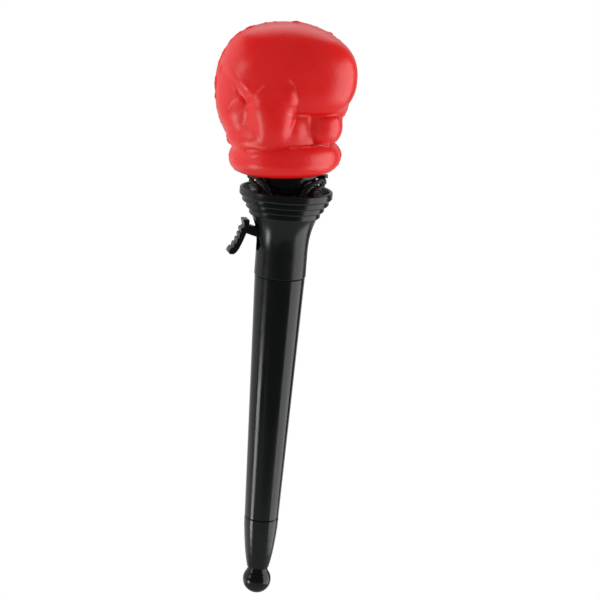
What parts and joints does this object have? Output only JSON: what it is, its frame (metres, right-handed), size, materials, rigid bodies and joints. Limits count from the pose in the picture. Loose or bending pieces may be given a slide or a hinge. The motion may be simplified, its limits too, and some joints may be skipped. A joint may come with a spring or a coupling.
{
  "type": "hand-held boxing glove launcher",
  "caption": "Hand-held tube launcher for a foam boxing glove, with a flared muzzle, a side trigger, a sprung plunger and elastic tether cords.",
  "frame": {"origin": "on the barrel's axis, at the middle of the plain barrel that a clip grips, 225 mm above the foot", "axes": "+Z along the barrel towards the glove; the trigger is on -X; the glove's palm side faces -Y, turned 15 degrees towards -X"},
  "size_m": [0.0874, 0.075, 0.3799],
  "materials": {
    "black_gloss": "glossy injection-moulded plastic with faint mould lines and handling scratches",
    "black_satin": "satin moulded plastic",
    "white_guide": "unpainted low-friction plastic, hidden inside",
    "spring_steel": "plain steel wire, tube and pin",
    "red_foam": null,
    "black_cord": "twisted elastic cord"
  },
  "bodies": {
    "housing": {"barrel": "black_gloss", "guide_sleeve": "black_satin", "rod_guide": "white_guide", "handle_tube": "black_gloss", "end_cap": "black_gloss", "spring_seat": "white_guide", "main_spring": "spring_steel", "trigger_pin": "spring_steel", "trigger_spring": "spring_steel"},
    "plunger": {"plunger_head": "black_satin", "plunger_rod": "spring_steel", "plunger_foot": "black_satin", "cord_ends_front": "black_cord", "cord_ends_back": "black_cord", "tether_front_left": "black_cord", "tether_front_right": "black_cord", "tether_back_left": "black_cord", "tether_back_right": "black_cord"},
    "trigger": {"trigger_lever": "black_gloss"},
    "glove": {"glove_foam": "red_foam", "glove_base": "black_gloss", "glove_stem": "black_satin", "cord_knot_left": "black_cord", "cord_knot_right": "black_cord"}
  },
  "joints": [
    {"name": "plunger_slide", "type": "slide", "parent": "housing", "child": "plunger", "axis": [0, 0, 1], "range_m": [0, 0.07], "deforming": ["main_spring"]},
    {"name": "glove_flight", "type": "slide", "parent": "plunger", "child": "glove", "axis": [0, 0, 1], "range_m": [0, 0.055], "deforming": ["tether_front_left", "tether_front_right", "tether_back_left", "tether_back_right"]},
    {"name": "trigger_pull", "type": "hinge", "parent": "housing", "child": "trigger", "pos_m": [-0.0116, 0, 0.013], "axis": [0, -1, 0], "range_deg": [0, 16], "stiffness_Nm_per_rad": 0.05, "springref_deg": -14.32, "deforming": ["trigger_spring"]}
  ]
}
